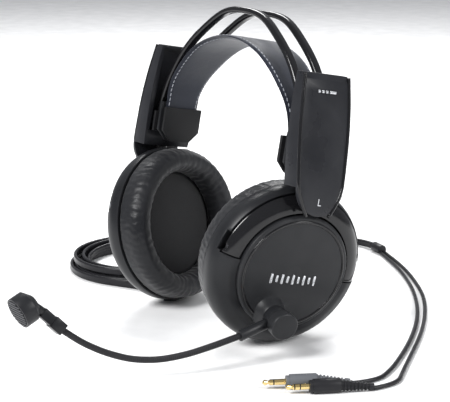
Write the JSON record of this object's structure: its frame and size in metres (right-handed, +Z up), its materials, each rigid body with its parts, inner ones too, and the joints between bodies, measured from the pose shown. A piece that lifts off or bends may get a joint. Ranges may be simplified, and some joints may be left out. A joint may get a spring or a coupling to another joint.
{
  "type": "headset",
  "caption": "Closed-back stereo headset with a suspended inner head strap under twin hoops, a boom microphone and a flat cord that splits into leads with jack plugs.",
  "frame": {"origin": "centre of the bounding box of everything but the cord, at the surface that the headset stands on", "axes": "+X towards the wearer's left ear, +Y towards the back of the head, +Z up; the headset leans back as it stands"},
  "size_m": [0.3541, 0.3778, 0.2064],
  "materials": {
    "satin_black": "satin moulded",
    "inner_plastic": "matt moulded",
    "steel": "plated",
    "film": "thin film",
    "speaker_cloth": "open weave",
    "cushion_leatherette": "soft leatherette",
    "gloss_black": "polished",
    "arm_black": "smooth satin",
    "elastic": "covered elastic",
    "strap_leatherette": "satin leatherette",
    "gooseneck_rubber": "rubber sleeve",
    "microphone_metal": "plain",
    "cord_jacket": "smooth flexible jacket",
    "gilt": "gilt plated",
    "plug_grey": "moulded",
    "plug_black": "moulded"
  },
  "bodies": {
    "right_cup": {"right_cup_shell": "satin_black", "right_cup_cap": "satin_black", "right_baffle": "inner_plastic", "right_driver_frame": "inner_plastic", "right_driver_magnet": "steel", "right_diaphragm": "film", "right_driver_cloth": "speaker_cloth", "right_ear_cushion": "cushion_leatherette", "right_baffle_screws": "steel", "cord_relief": "cord_jacket", "cord_link": "cord_jacket", "cord_coil": "cord_jacket", "cord_tail": "cord_jacket", "cord_splitter": "cord_jacket", "stereo_lead": "cord_jacket", "stereo_plug_contacts": "gilt", "stereo_plug_barrel": "plug_grey", "stereo_plug_boot": "plug_grey", "mic_lead": "cord_jacket", "mic_plug_contacts": "gilt", "mic_plug_barrel": "plug_black", "mic_plug_boot": "plug_black"},
    "right_fork": {"right_fork": "gloss_black", "right_fork_pins": "steel"},
    "band": {"left_arm_shell": "arm_black", "right_arm_shell": "arm_black", "left_arm_clamp": "inner_plastic", "right_arm_clamp": "inner_plastic", "left_arm_screw": "steel", "right_arm_screw": "steel", "left_return_elastic": "elastic", "right_return_elastic": "elastic", "front_hoop": "gloss_black", "rear_hoop": "gloss_black", "headband_strap": "strap_leatherette"},
    "left_slider": {"left_slider": "inner_plastic", "left_strap_clamp": "inner_plastic"},
    "right_slider": {"right_slider": "inner_plastic", "right_strap_clamp": "inner_plastic"},
    "left_fork": {"left_fork": "gloss_black", "left_fork_pins": "steel"},
    "left_cup": {"left_cup_shell": "satin_black", "left_cup_cap": "satin_black", "left_baffle": "inner_plastic", "left_driver_frame": "inner_plastic", "left_driver_magnet": "steel", "left_diaphragm": "film", "left_driver_cloth": "speaker_cloth", "left_ear_cushion": "cushion_leatherette", "left_baffle_screws": "steel", "boom_pivot_screw": "steel", "boom_knob": "satin_black"},
    "boom": {"boom_hub": "satin_black", "boom_socket": "satin_black", "boom_gooseneck": "gooseneck_rubber", "mic_sleeve": "satin_black", "mic_head": "satin_black", "mic_grille": "satin_black", "mic_capsule": "microphone_metal"}
  },
  "joints": [
    {"name": "right_cup_tilt", "type": "hinge", "parent": "right_cup", "child": "right_fork", "pos_m": [-0.07565, 0.06244, 0.06317], "axis": [0.1822, -0.9652, 0.1876], "range_deg": [-2, 8]},
    {"name": "right_swivel", "type": "hinge", "parent": "right_fork", "child": "band", "pos_m": [-0.08403, 0.0724, 0.11227], "axis": [0, 0.1908, 0.9816], "range_deg": [-3, 3]},
    {"name": "left_swivel", "type": "hinge", "parent": "band", "child": "left_fork", "pos_m": [0.07837, 0.0724, 0.11227], "axis": [0, 0.1908, 0.9816], "range_deg": [-3, 3]},
    {"name": "left_cup_tilt", "type": "hinge", "parent": "left_fork", "child": "left_cup", "pos_m": [0.06972, 0.06253, 0.06342], "axis": [-0.1822, -0.9652, 0.1876], "range_deg": [-2, 8]},
    {"name": "left_slide", "type": "slide", "parent": "band", "child": "left_slider", "axis": [-0.1701, 0.188, 0.9673], "range_m": [0, 0.017], "stiffness_N_per_m": 40, "deforming": ["headband_strap", "left_return_elastic"]},
    {"name": "right_slide", "type": "slide", "parent": "band", "child": "right_slider", "axis": [0.1701, 0.188, 0.9673], "range_m": [0, 0.017], "stiffness_N_per_m": 40, "deforming": ["right_return_elastic"]},
    {"name": "boom_swing", "type": "hinge", "parent": "left_cup", "child": "boom", "pos_m": [0.07587, 0.04372, 0.0259], "axis": [-0.9635, 0.2133, 0.1616], "range_deg": [-5, 60]}
  ],
  "couplings": [
    {"joint": "right_slide", "follows": "left_slide", "ratio": 1}
  ]
}
